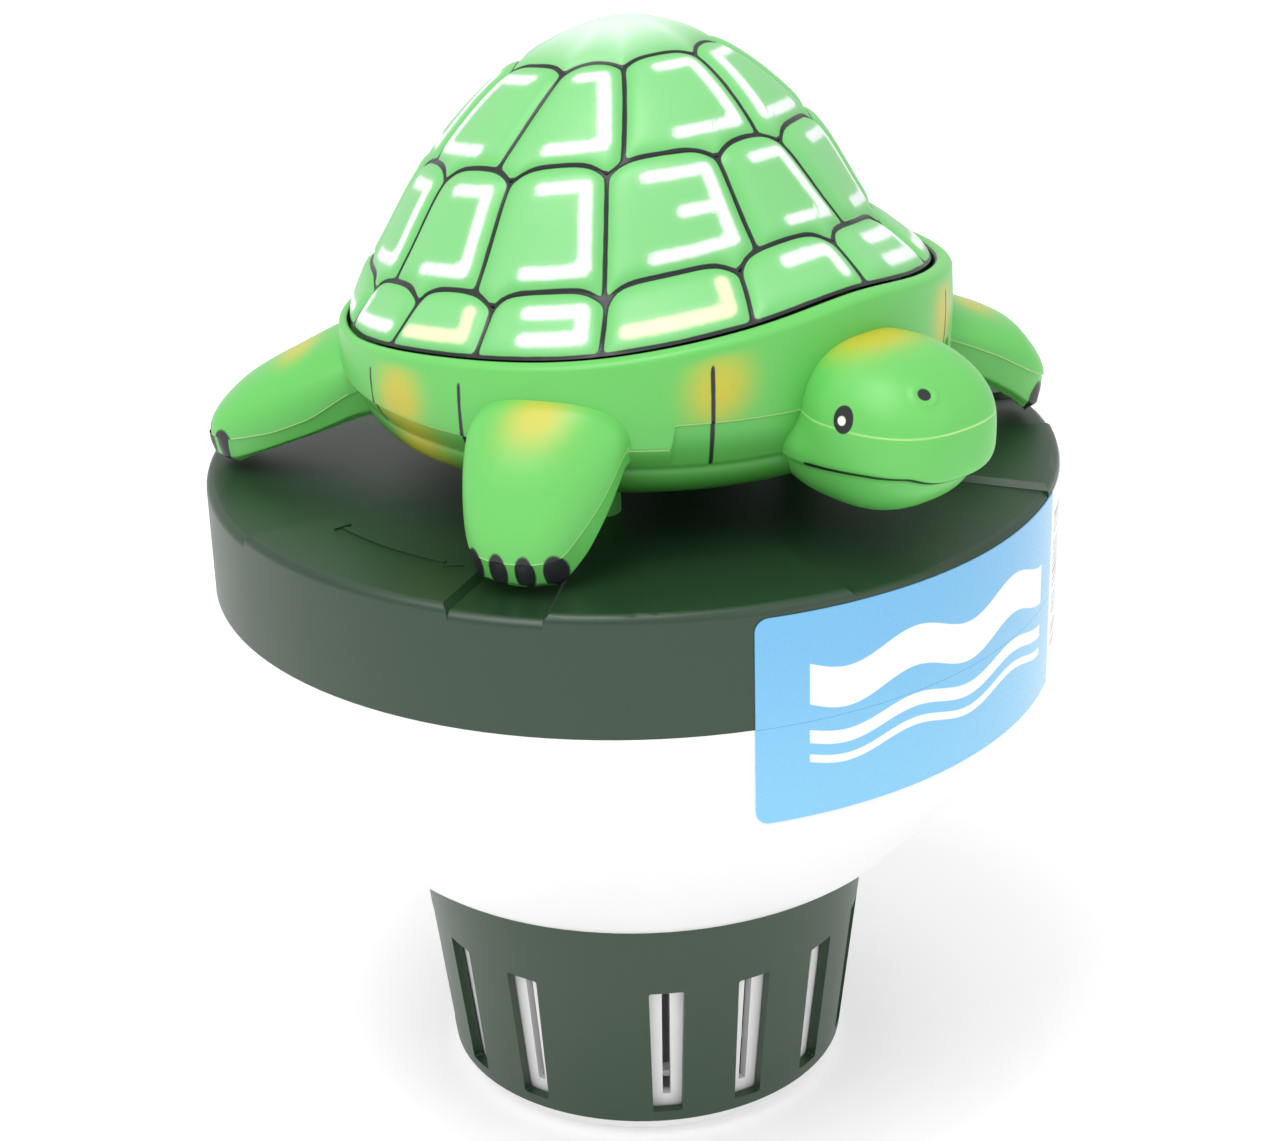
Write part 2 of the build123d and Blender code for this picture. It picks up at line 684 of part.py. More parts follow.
with BuildPart() as label_upper:
    add(label_sheet(JOINT_Z + LABEL_SPLIT, LABEL_TOP_Z))
    short_edges = label_upper.edges().filter_by(lambda edge: edge.length < 1)
    fillet(short_edges.group_by(Axis.Z)[-1], radius=LABEL_CORNER)
label_upper.part.label = "label_upper"

with BuildPart() as label_lower:
    add(label_sheet(LABEL_FOOT_Z, JOINT_Z - LABEL_SPLIT))
    short_edges = label_lower.edges().filter_by(lambda edge: edge.length < 1)
    fillet(short_edges.group_by(Axis.Z)[0], radius=LABEL_CORNER)
label_lower.part.label = "label_lower"


for piece in (
    float_bowl,
    tablet_tube,
    flow_ring,
    base_cap,
    lid,
    lid_seal,
    turtle_upper_shell,
    turtle_lower_shell,
    turtle_screws,
    screw_washers,
    label_upper,
    label_lower,
):
    export_step(piece.part, f"parts/{piece.part.label}.step")
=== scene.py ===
"""Looks of the floating chlorine dispenser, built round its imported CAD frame.

Lengths in this script are millimetres in the CAD frame and become metres in `new_object`.
The turtle looks along -Y. Directions on the turtle are degrees from its head,
positive towards its left side.
"""

import math

import bpy
import numpy as np
from mathutils import Matrix, Vector


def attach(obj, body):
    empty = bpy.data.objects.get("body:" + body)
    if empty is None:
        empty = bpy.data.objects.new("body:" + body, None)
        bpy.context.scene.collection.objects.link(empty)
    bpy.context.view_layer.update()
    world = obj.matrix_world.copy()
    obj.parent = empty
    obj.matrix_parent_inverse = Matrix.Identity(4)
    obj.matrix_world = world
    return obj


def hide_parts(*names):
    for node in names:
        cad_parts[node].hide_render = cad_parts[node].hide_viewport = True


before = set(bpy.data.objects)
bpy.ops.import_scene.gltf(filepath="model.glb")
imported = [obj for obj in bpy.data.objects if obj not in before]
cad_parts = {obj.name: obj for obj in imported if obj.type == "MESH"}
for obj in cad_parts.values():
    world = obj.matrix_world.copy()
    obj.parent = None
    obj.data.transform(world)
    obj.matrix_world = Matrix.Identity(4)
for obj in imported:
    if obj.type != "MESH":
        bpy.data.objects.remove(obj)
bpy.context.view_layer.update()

MM = 0.001
FAR = 9.0  # stands for a distance that is out of reach of a painted edge

# ------------------------------------------------------------------ sizes
SHELL_CENTRE = np.array([0.0, -5.7])
FRONT_TILT = 0.155  # rise of the carapace's rings towards the head, per millimetre
REAR_TILT = 0.09
TILT_BEND = -22.0  # the two tilts meet this far ahead of the shell's middle: behind it
SEAM_FRONT_Z = 190.8
SEAM_SIDE_Z = 185.5
SEAM_STEP_ANGLE = 37.0
SEAM_STEP_HALF = 0.5  # half the angle over which the seam steps down

# Half section of the dome through its ring grooves, from the rim up to the top: radius, height
DOME_SECTION = np.array([(65.5, 199.9), (57.3, 208.9), (42.5, 231.5), (21.9, 250.3), (0.0, 258.0)])
# The rings sit further back than the rim: height, distance
DOME_SETBACK = np.array([(199.9, 1.6), (208.9, 7.6), (231.5, 7.6), (250.5, 8.4), (258.0, 7.0)])
BAND_RADIUS = 68.6  # outside of the band below the plates
RIM_CREST = 2.2  # extra lift of the rim over the head
CREST_SPREAD = 17.0
RIM_DIP = 2.0  # and its dip above the front legs
DIP_ANGLE = 52.0
DIP_SPREAD = 26.0
RIM_FADE = (232.0, 199.0)  # heights between which crest and dip grow to their full size

# Directions of the upright grooves: at the foot and at the head of each ring of plates
LOWER_GROOVES = [(-118, -110), (-96, -89.5), (-73, -69), (-48.5, -44.5), (-20.5, -16.5)]
LOWER_GROOVES += [(5.5, 9), (33.5, 38)]
LOWER_GROOVES += [(angle, angle) for angle in (60, 86, 112, 138, 164, 190, 217)]
MIDDLE_GROOVES = [(-102, -100), (-74, -72.5), (-44.5, -44), (-10.5, -12.5), (18.5, 11.5)]
MIDDLE_GROOVES += [(angle, angle) for angle in (43, 70, 98, 126, 154, 182, 208, 232)]
UPPER_GROOVES = [(-79, -68.5), (-39.5, -35.5), (5, 8.5), (45, 45)]
UPPER_GROOVES += [(angle, angle) for angle in (85, 125, 165, 205, 243)]

# White airbrushed marks, one letter-like stroke set per plate in the order of the grooves:
# T top stroke, B bottom stroke, R right stroke, L left stroke, M middle stroke
LOWER_MARKS = "LB BR TBR BR TR TBR BR TBR LB BR TBR BR TR LB".split()
MIDDLE_MARKS = "TBR TBR TMBR TBR TBR TBR TMBR TBR TBR TMBR TBR TBR TBR".split()
UPPER_MARKS = "TBR TBR LTB TBR TBR LTB TBR TBR LTB".split()
# Share of the plate's width at which the level strokes of a mark start
MARK_START = {"LB": 0.15, "BR": 0.16, "TR": 0.42, "TBR": 0.38, "TMBR": 0.32, "LTB": 0.3}


# ------------------------------------------------------------------ mesh helpers
class Skin:
    """Gathers patches of surface, with named values per vertex, into one mesh."""

    def __init__(self, **defaults):
        self.defaults = defaults
        self.points = []
        self.faces = []
        self.values = {name: [] for name in defaults}
        self.count = 0

    def grid(self, points, closed=False, flip=False, **values):
        """Adds a rows x columns x 3 patch.

        closed joins its last column to its first, and flip turns its outside round.
        """
        rows, columns = points.shape[:2]
        index = np.arange(rows * columns).reshape(rows, columns) + self.count
        if closed:
            index = np.concatenate([index, index[:, :1]], axis=1)
        corners = [index[:-1, :-1], index[:-1, 1:], index[1:, 1:], index[1:, :-1]]
        if flip:
            corners.reverse()
        self.faces.append(np.stack([corner.ravel() for corner in corners], axis=1))
        self.points.append(points.reshape(-1, 3))
        for name, default in self.defaults.items():
            value = np.broadcast_to(values.get(name, default), (rows, columns))
            self.values[name].append(value.ravel())
        self.count += rows * columns

    def build(self, name, material, body, replaced):
        """Makes the mesh object on a CAD body, in place of a CAD node."""
        points = np.concatenate(self.points)
        faces = np.concatenate(self.faces)
        obj = new_object(name, points, faces, material)
        for value_name, chunks in self.values.items():
            attribute = obj.data.attributes.new(value_name, "FLOAT", "POINT")
            attribute.data.foreach_set("value", np.concatenate(chunks).astype(np.float32))
        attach(obj, body)
        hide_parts(replaced)


def new_object(name, points, faces, material):
    """Smooth mesh object from millimetre points and quad faces."""
    mesh = bpy.data.meshes.new(name)
    mesh.vertices.add(len(points))
    mesh.vertices.foreach_set("co", (points * MM).astype(np.float32).ravel())
    mesh.loops.add(faces.size)
    mesh.loops.foreach_set("vertex_index", faces.astype(np.int32).ravel())
    mesh.polygons.add(len(faces))
    sides = faces.shape[1]
    mesh.polygons.foreach_set("loop_start", np.arange(0, faces.size, sides, dtype=np.int32))
    mesh.update(calc_edges=True)
    mesh.validate()
    mesh.polygons.foreach_set("use_smooth", np.ones(len(mesh.polygons), dtype=bool))
    mesh.materials.append(material)
    obj = bpy.data.objects.new(name, mesh)
    bpy.context.scene.collection.objects.link(obj)
    return obj


def smoothstep(low, high, value):
    """0 at low and 1 at high, smooth between and level beyond; low may be the higher one."""
    share = np.clip((value - low) / (high - low), 0, 1)
    return share * share * (3 - 2 * share)


def soft_min(*distances, radius=1.0):
    """Smallest of several distances with rounded corners."""
    total = sum(np.exp(-distance / radius) for distance in distances)
    return -radius * np.log(total)


# ------------------------------------------------------------------ materials
class Nodes:
    """Short way to write a node tree."""

    def __init__(self, name):
        self.material = bpy.data.materials.new(name)
        self.material.use_nodes = True
        self.tree = self.material.node_tree
        self.tree.nodes.clear()
        self.output = self.tree.nodes.new("ShaderNodeOutputMaterial")
        self.shader = self.tree.nodes.new("ShaderNodeBsdfPrincipled")
        self.tree.links.new(self.shader.outputs[0], self.output.inputs["Surface"])

    def put(self, value, socket):
        """Feeds a socket from another socket, a number or a colour."""
        if isinstance(value, bpy.types.NodeSocket):
            self.tree.links.new(value, socket)
        elif isinstance(value, (tuple, list)) and len(value) == 3 and socket.type == "RGBA":
            socket.default_value = (*value, 1)
        else:
            socket.default_value = value

    def set(self, name, value):
        self.put(value, self.shader.inputs[name])

    def math(self, operation, first, second=0.0):
        node = self.tree.nodes.new("ShaderNodeMath")
        node.operation = operation
        self.put(first, node.inputs[0])
        self.put(second, node.inputs[1])
        return node.outputs[0]

    def swing(self, noise, amount):
        """Noise moved to swing both ways round zero."""
        return self.math("MULTIPLY", self.math("SUBTRACT", noise, 0.5), amount)

    def ramp(self, value, low, high, start=0.0, end=1.0):
        """Smooth change from start to end as value goes from low to high."""
        node = self.tree.nodes.new("ShaderNodeMapRange")
        node.interpolation_type = "SMOOTHSTEP"
        for socket, number in zip(node.inputs, (value, low, high, start, end)):
            self.put(number, socket)
        return node.outputs[0]

    def mix(self, share, first, second):
        """Blend of two colours."""
        node = self.tree.nodes.new("ShaderNodeMix")
        node.data_type = "RGBA"
        self.put(share, node.inputs[0])
        self.put(first, node.inputs[6])
        self.put(second, node.inputs[7])
        return node.outputs[2]

    def attribute(self, name):
        node = self.tree.nodes.new("ShaderNodeAttribute")
        node.attribute_name = name
        return node.outputs["Fac"]

    def position(self):
        return self.tree.nodes.new("ShaderNodeTexCoord").outputs["Object"]

    def xyz(self, vector):
        node = self.tree.nodes.new("ShaderNodeSeparateXYZ")
        self.put(vector, node.inputs[0])
        return node.outputs[0], node.outputs[1], node.outputs[2]

    def noise(self, scale, detail=3.0, roughness=0.5, vector=None):
        node = self.tree.nodes.new("ShaderNodeTexNoise")
        self.put(self.position() if vector is None else vector, node.inputs["Vector"])
        node.inputs["Scale"].default_value = scale
        node.inputs["Detail"].default_value = detail
        node.inputs["Roughness"].default_value = roughness
        return node.outputs["Fac"]

    def bump(self, height, distance, strength=1.0):
        node = self.tree.nodes.new("ShaderNodeBump")
        node.inputs["Strength"].default_value = strength
        node.inputs["Distance"].default_value = distance
        self.put(height, node.inputs["Height"])
        self.set("Normal", node.outputs[0])


def grained_plastic(name, colour, pale, roughness, grain, index=1.5):
    """Moulded plastic with a fine grain and slow changes of tone."""
    n = Nodes(name)
    fine = n.noise(2600, 2, 0.6)
    slow = n.noise(14, 3)
    speckle = n.ramp(fine, 0.35, 0.75)
    share = n.math("ADD", n.math("MULTIPLY", speckle, 0.25), n.math("MULTIPLY", slow, 0.3))
    n.set("Base Color", n.mix(share, colour, pale))
    n.set("Roughness", n.ramp(slow, 0.2, 0.8, roughness - 0.04, roughness + 0.05))
    n.set("IOR", index)
    n.bump(fine, 0.0001, grain)
    return n.material


dark_green = grained_plastic(
    "dark_green",
    colour=(0.007, 0.034, 0.011),
    pale=(0.018, 0.056, 0.023),
    roughness=0.4,
    grain=0.25,
    index=1.6,
)
white_plastic = grained_plastic(
    "white_plastic",
    colour=(0.86, 0.86, 0.86),
    pale=(0.90, 0.90, 0.89),
    roughness=0.32,
    grain=0.04,
)
rubber = grained_plastic(
    "seal_rubber",
    colour=(0.02, 0.02, 0.02),
    pale=(0.05, 0.05, 0.05),
    roughness=0.7,
    grain=0.2,
)


def brushed_steel():
    """Screw heads with fine turning marks."""
    n = Nodes("screw_steel")
    marks = n.noise(4000, 2)
    n.set("Base Color", n.mix(marks, (0.45, 0.45, 0.44), (0.7, 0.7, 0.68)))
    n.set("Metallic", 1.0)
    n.set("Roughness", n.ramp(marks, 0.2, 0.8, 0.25, 0.4))
    n.bump(marks, 0.00005, 0.2)
    return n.material


BODY_GREENS = ((0.115, 0.520, 0.095), (0.150, 0.575, 0.125))
PLATE_GREENS = ((0.190, 0.570, 0.190), (0.225, 0.610, 0.230))
# Lower shell's own darker green, with painted shade under the band and on the belly
BELLY_GREEN_AND_SHADE = (0.045, 0.230, 0.028)
# Painted shade in the grooves between the plates
GROOVE_SHADE_GREEN = (0.100, 0.520, 0.095)
FLASH_GREEN = (0.50, 0.80, 0.30)
YELLOW_PAINT = (0.610, 0.500, 0.030)
WHITE_PAINT = (0.84, 0.90, 0.87)
CREAM_PAINT = (0.84, 0.86, 0.50)
WHITE_MIST = (0.80, 0.90, 0.80)
# Pale mint of the cap: partly its own mist, partly a painted highlight towards the top
CAP_MIST_AND_HIGHLIGHT = (0.72, 0.86, 0.76)
BLACK_PAINT = (0.012, 0.014, 0.016)
GLINT_PAINT = (0.85, 0.85, 0.82)


def turtle_plastic():
    """Green plastic with the painter's black lines, white strokes and yellow mist."""
    n = Nodes("turtle_green")
    slow = n.noise(22, 3)
    fine = n.noise(1500, 2)
    pale = n.attribute("pale")
    colour = n.mix(pale, n.mix(slow, *BODY_GREENS), n.mix(slow, *PLATE_GREENS))
    # Painted shade under the band and on the belly, mixed with the lower shell's own darker green
    colour = n.mix(n.attribute("deep"), colour, BELLY_GREEN_AND_SHADE)
    # Painted shade: the pale plates darken towards their grooves
    shade = n.ramp(n.attribute("groove"), 0.4, 4.5, 0.45, 0.0)
    colour = n.mix(n.math("MULTIPLY", shade, pale), colour, GROOVE_SHADE_GREEN)
    yellow = n.math("ADD", n.attribute("yellow"), n.swing(slow, 0.3))
    colour = n.mix(n.ramp(yellow, 0.05, 1.05, 0.0, 0.9), colour, YELLOW_PAINT)

    # White strokes with a ragged edge and a thin mist round them
    ragged = n.math("ADD", n.attribute("mark"), n.swing(n.noise(420, 3), 0.5))
    colour = n.mix(n.ramp(ragged, 0.0, 2.0, 0.12, 0.0), colour, WHITE_MIST)
    paint = n.mix(n.ramp(n.attribute("tint"), 0.1, 0.9), WHITE_PAINT, CREAM_PAINT)
    colour = n.mix(n.ramp(ragged, -0.35, 0.75, 0.95, 0.0), colour, paint)
    # Paler towards the top of the cap: partly the cap's own mist, partly a painted highlight
    colour = n.mix(n.attribute("cap"), colour, CAP_MIST_AND_HIGHLIGHT)
    colour = n.mix(n.ramp(n.attribute("flash"), 0.35, 0.0), colour, FLASH_GREEN)

    # Black lines whose width wavers
    waver = n.swing(n.noise(180, 2), 0.28)
    line = n.ramp(n.math("ADD", n.attribute("groove"), waver), 0.74, 0.52)
    brush = n.ramp(n.math("ADD", n.attribute("black"), waver), 0.15, -0.15)
    colour = n.mix(n.math("MAXIMUM", line, brush), colour, BLACK_PAINT)
    colour = n.mix(n.ramp(n.attribute("glint"), 0.15, -0.15), colour, GLINT_PAINT)
    n.set("Base Color", colour)
    n.set("Roughness", n.ramp(slow, 0.2, 0.8, 0.33, 0.42))
    n.set("Subsurface Weight", 0.08)
    n.set("Subsurface Radius", (0.0015, 0.003, 0.001))
    n.bump(n.math("ADD", n.math("MULTIPLY", fine, 0.3), slow), 0.0006, 0.12)
    return n.material


turtle_green = turtle_plastic()


# ------------------------------------------------------------------ carapace
DOME_SAMPLES = 600
PLATE_MESH = (34, 25)  # points across a plate and up it
MARK_HALF_WIDTH = 1.15
MARK_MARGIN = 4.6  # largest distance of a level stroke from its groove
MARK_MARGIN_SHARE = 0.29  # and its largest share of the plate's height
MARK_SIDE = 4.2  # the same for an upright stroke and the plate's width
MARK_SIDE_SHARE = 0.3
SHORT_STROKE_SHARE = 0.25  # how much of the width the middle stroke is shorter by
PLATE_RISE = 1.2
CAP_RISE = 1.1
GROOVE_DEPTH = 0.5
SHOULDER = 1.6  # distance from a groove over which a plate rises


def dome_samples():
    """Dense smooth curve through the dome's half section, with its outward direction."""
    section = DOME_SECTION
    mirrored = np.vstack([section, section[-2] * (-1, 1)])  # so that the top is level
    steps = np.linalg.norm(np.diff(mirrored, axis=0), axis=1)
    knots = np.concatenate([[0], np.cumsum(steps)])
    slopes = np.gradient(mirrored, knots, axis=0)
    length = np.linspace(0, knots[len(section) - 1], DOME_SAMPLES)
    span = np.clip(np.searchsorted(knots, length, side="right") - 1, 0, len(section) - 2)
    width = (knots[span + 1] - knots[span])[:, None]
    part = (length[:, None] - knots[span][:, None]) / width
    curve = (
        (2 * part**3 - 3 * part**2 + 1) * mirrored[span]
        + (part**3 - 2 * part**2 + part) * width * slopes[span]
        + (-2 * part**3 + 3 * part**2) * mirrored[span + 1]
        + (part**3 - part**2) * width * slopes[span + 1]
    )
    along = np.gradient(curve, length, axis=0)
    along /= np.linalg.norm(along, axis=1)[:, None]
    outward = np.stack([along[:, 1], -along[:, 0]], axis=1)
    return length, curve, outward


DOME_LENGTH, DOME_CURVE, DOME_OUTWARD = dome_samples()


def length_at_height(height):
    """Distance up the dome's half section to a height."""
    return np.interp(height, DOME_CURVE[:, 1], DOME_LENGTH)


def on_turtle(angle, radius, height):
    """Point at a direction from the head, a radius and a height."""
    turn = np.radians(np.asarray(angle, float) - 90)
    x = SHELL_CENTRE[0] + radius * np.cos(turn)
    y = SHELL_CENTRE[1] + radius * np.sin(turn)
    return np.stack(np.broadcast_arrays(x, y, height), axis=-1)


def tilted(points):
    """Lifts the side towards the head; the rim itself is crested and dips at the sides."""
    forward = SHELL_CENTRE[1] - points[..., 1]
    slope = np.where(forward > TILT_BEND, FRONT_TILT, REAR_TILT) * (forward - TILT_BEND)
    angle = np.degrees(np.arctan2(points[..., 0], forward))
    crest = RIM_CREST * np.exp(-((angle / CREST_SPREAD) ** 2))
    dip = RIM_DIP * np.exp(-(((np.abs(angle) - DIP_ANGLE) / DIP_SPREAD) ** 2))
    near_rim = smoothstep(*RIM_FADE, points[..., 2])
    lifted = points.copy()
    lifted[..., 2] += slope + FRONT_TILT * TILT_BEND + (crest - dip) * near_rim
    return lifted


def set_back(height):
    """How far behind the middle of the rim the dome's section is centred."""
    return np.interp(height, DOME_SETBACK[:, 0], DOME_SETBACK[:, 1])


def on_dome(angle, length, height):
    """Point on the dome, raised by a height above its base surface."""
    radius = np.interp(length, DOME_LENGTH, DOME_CURVE[:, 0])
    level = np.interp(length, DOME_LENGTH, DOME_CURVE[:, 1])
    out_radius = np.interp(length, DOME_LENGTH, DOME_OUTWARD[:, 0])
    out_level = np.interp(length, DOME_LENGTH, DOME_OUTWARD[:, 1])
    points = tilted(on_turtle(angle, radius + out_radius * height, level + out_level * height))
    points[..., 1] += set_back(level)
    return points


def nearest(angle, targets):
    """Signed difference in degrees to the nearest of several directions."""
    differences = (np.asarray(angle, float)[..., None] - np.array(targets, float) + 180) % 360 - 180
    pick = np.argmin(np.abs(differences), axis=-1)
    return np.take_along_axis(differences, pick[..., None], axis=-1)[..., 0]


def scalloped_line(grooves_below, low, high, radius, shoulder):
    """Ring groove that bows up over each plate below it and dips at the grooves between them."""
    dips = [head for _, head in grooves_below]

    def height(angle):
        away = np.abs(nearest(angle, dips)) * math.pi / 180 * radius
        return high - (high - low) * np.exp(-((away / shoulder) ** 1.3))

    return height


def rim_line(angle):
    """Level groove under the lowest plates."""
    return np.full_like(angle, DOME_SECTION[0, 1])


low_line = scalloped_line(LOWER_GROOVES, low=207.6, high=210.2, radius=57, shoulder=3.0)
high_line = scalloped_line(MIDDLE_GROOVES, low=230.2, high=232.8, radius=42, shoulder=3.0)
cap_line = scalloped_line(UPPER_GROOVES, low=249.6, high=251.0, radius=22, shoulder=2.6)


def stroke_distance(mark, left, right, bottom, top):
    """Distance to a plate's white strokes, from the distances to its four edges."""
    width = left + right
    margin = np.minimum(MARK_MARGIN, MARK_MARGIN_SHARE * (bottom + top))
    side = np.minimum(MARK_SIDE, MARK_SIDE_SHARE * width)
    start = MARK_START[mark] * width
    if "L" in mark:
        upright = np.abs(left - side)
        across = np.maximum(0, np.maximum(side - left, left - (width - start)))
    else:
        upright = np.abs(right - side)
        across = np.maximum(0, np.maximum(start - left, side - right))
    past = np.maximum(0, np.maximum(margin - bottom, margin - top))
    best = np.hypot(upright, past)
    if "T" in mark:
        best = np.minimum(best, np.hypot(top - margin, across))
    if "B" in mark:
        best = np.minimum(best, np.hypot(bottom - margin, across))
    if "M" in mark:
        short_start = start + SHORT_STROKE_SHARE * width
        short = np.maximum(0, np.maximum(short_start - left, side - right))
        best = np.minimum(best, np.hypot((top - bottom) / 2, short))
    return best - MARK_HALF_WIDTH


def plate_steps(count):
    """Shares from 0 to 1 over a plate, closer together at its edges and its middle."""
    share = np.linspace(0, 1, count)
    return share - 0.05 * np.sin(4 * math.pi * share)


def plate_height(edge, rise):
    """Height above the dome's base surface at a distance from the nearest groove."""
    return rise * (1 - np.exp(-((edge / SHOULDER) ** 1.3))) - GROOVE_DEPTH


def plate(skin, first, last, foot_line, head_line, mark, tint):
    """One plate of the carapace between two upright grooves and two ring grooves."""
    across, up = (plate_steps(count) for count in PLATE_MESH)
    foot_angle = first[0] + (last[0] - first[0]) * across
    head_angle = first[1] + (last[1] - first[1]) * across
    foot = length_at_height(foot_line(foot_angle))
    head = length_at_height(head_line(head_angle))
    length = foot + (head - foot) * up[:, None]
    angle = foot_angle + (head_angle - foot_angle) * up[:, None]

    # Distances to the four edges
    radius = np.interp(length, DOME_LENGTH, DOME_CURVE[:, 0])
    width = radius * np.radians(angle[:, -1:] - angle[:, :1])
    left = across * width
    right = (1 - across) * width
    bottom = up[:, None] * (head - foot)
    top = (1 - up[:, None]) * (head - foot)
    inside = np.maximum(soft_min(left, right, bottom, top, radius=1.1), 0)
    skin.grid(
        on_dome(angle, length, plate_height(inside, PLATE_RISE)),
        groove=soft_min(left + 0.12, right + 0.12, bottom, top, radius=0.45),
        mark=stroke_distance(mark, left, right, length - foot.mean(), head.mean() - length),
        tint=tint,
        pale=1.0,
    )


def plate_ring(skin, grooves, foot_line, head_line, marks, tints=()):
    """A ring of plates."""
    following = grooves[1:] + [(grooves[0][0] + 360, grooves[0][1] + 360)]
    for index, (first, last) in enumerate(zip(grooves, following)):
        tint = 1.0 if index in tints else 0.0
        plate(skin, first, last, foot_line, head_line, marks[index], tint)


def carapace_cap(skin):
    """Smooth cap at the top of the dome."""
    angle = np.linspace(0, 360, 240, endpoint=False)
    up = np.linspace(0, 1, 28)[:, None] ** 1.2
    start = length_at_height(cap_line(angle))
    end = DOME_LENGTH[-1] - 0.01
    length = start + (end - start) * up
    edge = length - start
    skin.grid(
        on_dome(np.broadcast_to(angle, length.shape), length, plate_height(edge, CAP_RISE)),
        closed=True,
        groove=edge,
        pale=1.0,
        # Grows paler towards the top: partly the cap's own mist, partly a painted highlight
        cap=0.12 + 0.75 * smoothstep(1, 15, edge),
    )


def seam_height(angle):
    """Height of the glued seam: high at the front, stepping down along the sides."""
    past_step = np.abs(nearest(angle, (0,))) - SEAM_STEP_ANGLE
    drop = smoothstep(-SEAM_STEP_HALF, SEAM_STEP_HALF, past_step)
    return SEAM_FRONT_Z + (SEAM_SIDE_Z - SEAM_FRONT_Z) * drop


TICK_ANGLES = (-30, -75.5, -100, 30, 75.5, 100, 150, -150)
YELLOW_ANGLES = (-29, -91, 29, 91, 140, -140)
BELLY_YELLOW_ANGLES = (-91, 91, 140)
LEDGE_HALF = 1.5  # half the width of the ledge that stands out below the plates
LEDGE_RISE = 1.3
LEDGE_DROP = 1.4  # how far below the rim the ledge begins and ends
BAND_BULGE = 0.35
TICK_HALF_WIDTH = 0.45
TICK_TOP = 4.5  # distance of the ticks' upper ends from the rim
YELLOW_DEPTH = 10.0  # distance of the yellow mist's middle from the rim


def tick_distance(angle, radius, half_width):
    """Distance round the shell from the painted upright ticks."""
    return np.abs(nearest(angle, TICK_ANGLES)) * radius * math.pi / 180 - half_width


def rim_band(skin):
    """Smooth band under the plates, down to the seam."""
    angle = np.linspace(0, 360, 600, endpoint=False)
    seam = seam_height(angle)
    rim_radius, rim_level = DOME_SECTION[0]
    top = tilted(on_turtle(angle, rim_radius, rim_level))[:, 2]

    # Rounded ledge, then the wall, then a lip turned in under it
    swing = np.radians(np.linspace(180, 0, 16))
    ledge_radius = BAND_RADIUS - LEDGE_HALF + LEDGE_HALF * np.cos(swing)
    ledge_rise = LEDGE_RISE * np.sin(swing) - LEDGE_DROP
    rows = [on_turtle(angle, out, top + up) for out, up in zip(ledge_radius, ledge_rise)]
    for share, row in zip(np.linspace(1, 0, len(rows)), rows):
        row[:, 1] += share * set_back(rim_level)
    wall_top = top + ledge_rise[-1]
    for share in np.linspace(0, 1, 26)[1:]:
        radius = BAND_RADIUS + BAND_BULGE * math.sin(math.pi * share)
        rows.append(on_turtle(angle, radius, wall_top + (seam - wall_top) * share))
    for inset, drop in ((0.4, 0.35), (2.1, 0.4)):
        rows.append(on_turtle(angle, BAND_RADIUS - inset, seam - drop))

    points = np.array(rows)
    from_top = top - points[..., 2]
    groove = np.full((len(rows), 1), FAR)
    groove[: len(ledge_radius), 0] = ledge_radius - rim_radius
    tick = tick_distance(angle, BAND_RADIUS, TICK_HALF_WIDTH)
    around = nearest(angle, YELLOW_ANGLES) / 7
    spot = np.exp(-(around**2) - ((from_top - YELLOW_DEPTH) / 9) ** 2)
    skin.grid(
        points,
        closed=True,
        flip=True,
        groove=groove,
        black=np.maximum(tick, (TICK_TOP - from_top) * 0.5),
        yellow=spot * smoothstep(0.5, 4.0, from_top),
        flash=np.abs(points[..., 2] - seam),
    )


WALL_RADIUS = BAND_RADIUS - 0.7
WALL_DRAFT = 2.6  # how far the lower shell's wall draws in towards its foot
WALL_FOOT_Z = 180.6
# Lip at the top of the lower shell's wall: beyond the wall's radius, above the seam
WALL_LIP = ((-1.8, 0.3), (-0.1, 0.1), (0.0, -0.4))
# Bead under the wall of the lower shell, then the belly to its middle: radius, height
BELLY_SECTION = [(64.7, 180.3), (64.3, 179.9), (64.4, 179.3), (64.3, 178.0), (63.5, 176.2)]
BELLY_SECTION += [(61.9, 174.4), (59.3, 172.8), (55.6, 171.2), (50.1, 169.6), (44.0, 168.9)]
BELLY_SECTION += [(2.0, 168.6)]


def belly(skin):
    """Lower shell below the seam."""
    angle = np.linspace(0, 360, 720, endpoint=False)
    seam = seam_height(angle)
    rows = [on_turtle(angle, WALL_RADIUS + out, seam + up) for out, up in WALL_LIP]
    wall_top = seam + WALL_LIP[-1][1]
    for share in np.linspace(0, 1, 14)[1:]:
        height = wall_top + (WALL_FOOT_Z - wall_top) * share
        rows.append(on_turtle(angle, WALL_RADIUS - WALL_DRAFT * share**1.4, height))
    rows += [on_turtle(angle, radius, height) for radius, height in BELLY_SECTION]
    points = np.array(rows)
    level = points[..., 2]
    skin.grid(
        points,
        closed=True,
        flip=True,
        black=np.maximum(tick_distance(angle, 70, 0.5), (180.4 - level) * 0.6),
        yellow=0.7 * np.exp(-((nearest(angle, BELLY_YELLOW_ANGLES) / 10) ** 2)),
        flash=np.abs(level - seam + 0.2),
        # Painted shade below the band and over the belly, partly the lower shell's own darker green
        deep=0.5 * smoothstep(190, 182, level) + 0.5 * smoothstep(181, 174, level),
    )


# ------------------------------------------------------------------ legs
LEG_ROOT = 57.0
LEG_ROOT_END = 66.0  # the moulding flash starts here, outside the shell
BEND_START = 64.0
NARROWING_START = 68.0
LEG_FOOT_Z = 160.1
BOSS_REACH = 36.0
BOSS_RADIUS = 4.5
BOSS_LEVELS = (158.7, 164, 170)

